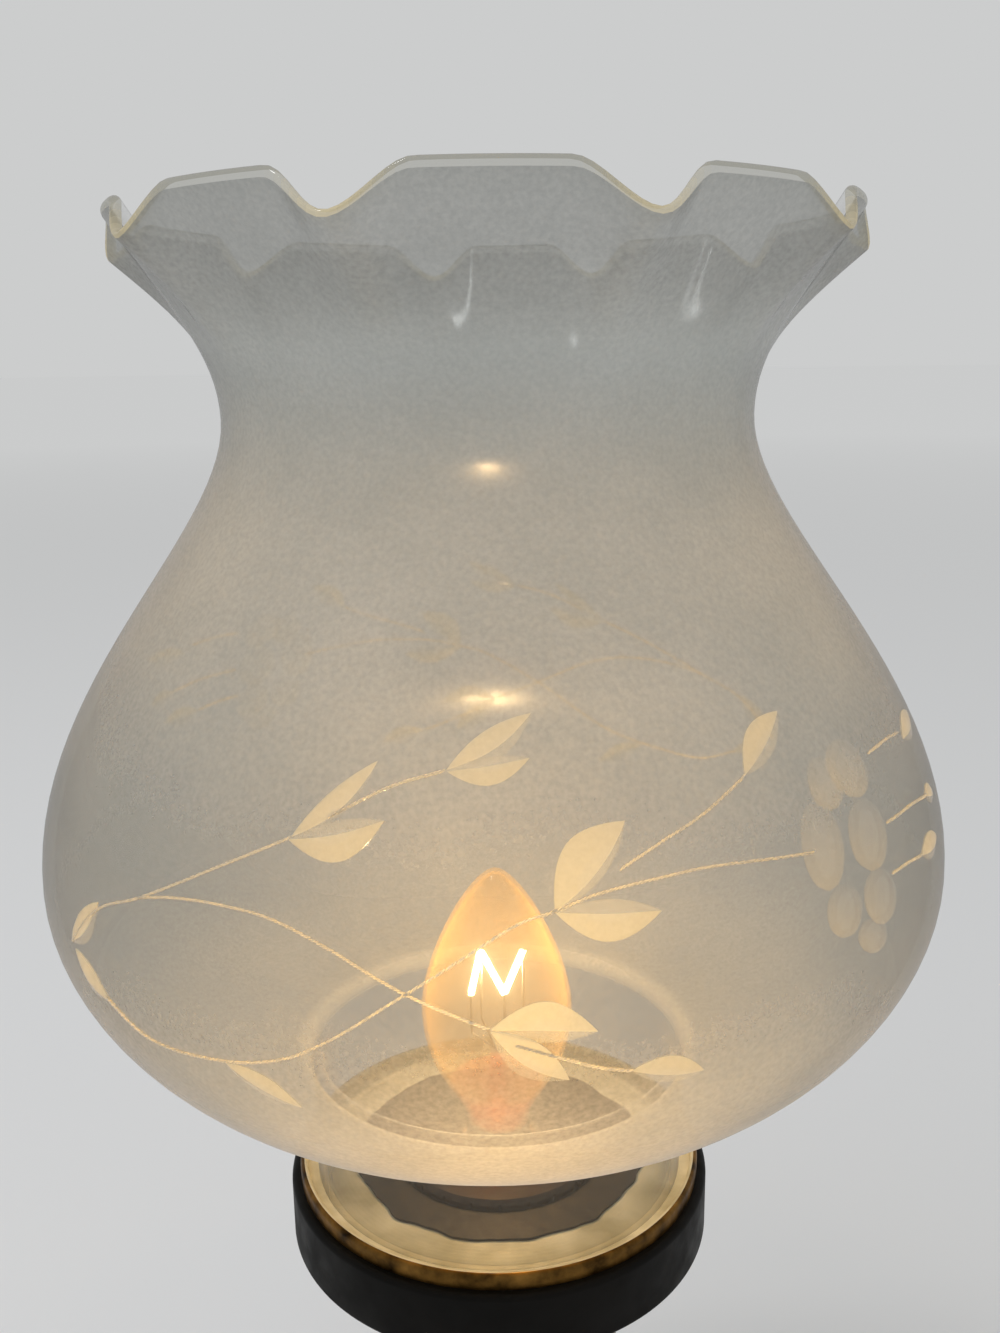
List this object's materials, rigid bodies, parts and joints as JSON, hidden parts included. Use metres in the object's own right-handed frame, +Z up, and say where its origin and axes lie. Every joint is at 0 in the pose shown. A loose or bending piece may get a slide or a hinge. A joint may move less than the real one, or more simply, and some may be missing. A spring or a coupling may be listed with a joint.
{
  "type": "hurricane lamp",
  "caption": "Electric hurricane lamp: a crimped satin glass shade lifts off a turned column, over a candle bulb that unscrews, with a rotary switch in the foot.",
  "frame": {"origin": "middle of the felt's underside, on the table", "axes": "+Z up along the column and the shade, -Y the front with the switch, +Y the back with the cord inlet"},
  "size_m": [0.192, 0.192, 0.3821],
  "materials": {
    "satin_glass": "satin outside, clear at the neck, wheel-cut vine",
    "bulb_glass": "clear, warm",
    "filament": "glowing tungsten",
    "steel": "zinc plated",
    "brass": "worn, lightly tarnished",
    "tin_solder": "dull solder",
    "black_glass": "fused black",
    "dark_wood": "dark stain under satin lacquer",
    "black_lacquer": "black gloss lacquer",
    "bakelite": "moulded",
    "porcelain": "glazed",
    "cast_iron": "rough cast",
    "felt": "pressed wool",
    "fibre": "pressed fibre board",
    "brown_pvc": "extruded sleeve",
    "blue_pvc": "extruded sleeve"
  },
  "bodies": {
    "base": {"socket_ring": "bakelite", "heat_disc": "fibre", "seat_plate": "brass", "platform": "black_lacquer", "socket_skirt": "bakelite", "socket_dome": "bakelite", "socket_insert": "porcelain", "screw_shell": "brass", "centre_contact": "brass", "terminal_screws": "steel", "socket_bushing": "steel", "pipe": "steel", "top_washer": "steel", "top_nut": "steel", "column": "dark_wood", "collar": "brass", "foot": "dark_wood", "base_weight": "cast_iron", "bottom_washer": "steel", "bottom_nut": "steel", "base_plate": "steel", "plate_screws": "steel", "felt_pad": "felt", "switch_case": "bakelite", "switch_cover": "fibre", "switch_blades": "brass", "switch_bushing": "brass", "switch_nut": "brass", "cord_bushing": "bakelite", "connector_block": "porcelain", "connector_screws": "steel", "block_screw": "steel", "live_lead": "brown_pvc", "neutral_lead": "blue_pvc", "switch_lead": "brown_pvc"},
    "shade": {"glass_shade": "satin_glass"},
    "bulb_tip": {"bulb_contact": "tin_solder"},
    "bulb": {"bulb_envelope": "bulb_glass", "bulb_filament": "filament", "bulb_leads": "steel", "bulb_stem": "bulb_glass", "bulb_cap": "brass", "bulb_insulator": "black_glass"},
    "switch_spindle": {"switch_knob": "brass", "switch_shaft": "brass", "switch_rotor": "porcelain"}
  },
  "joints": [
    {"name": "shade_lift", "type": "slide", "parent": "base", "child": "shade", "axis": [0, 0, 1], "range_m": [0, 0.12]},
    {"name": "bulb_rise", "type": "slide", "parent": "base", "child": "bulb_tip", "axis": [0, 0, 1], "range_m": [0, 0.0113]},
    {"name": "bulb_turn", "type": "hinge", "parent": "bulb_tip", "child": "bulb", "pos_m": [0, 0, 0.165], "axis": [0, 0, 1], "range_deg": [0, 1440]},
    {"name": "switch_turn", "type": "hinge", "parent": "base", "child": "switch_spindle", "pos_m": [0, -0.06, 0.013], "axis": [0, -1, 0], "continuous": true}
  ],
  "couplings": [
    {"joint": "bulb_rise", "follows": "bulb_turn", "m_per_rad": 0.00044882}
  ]
}
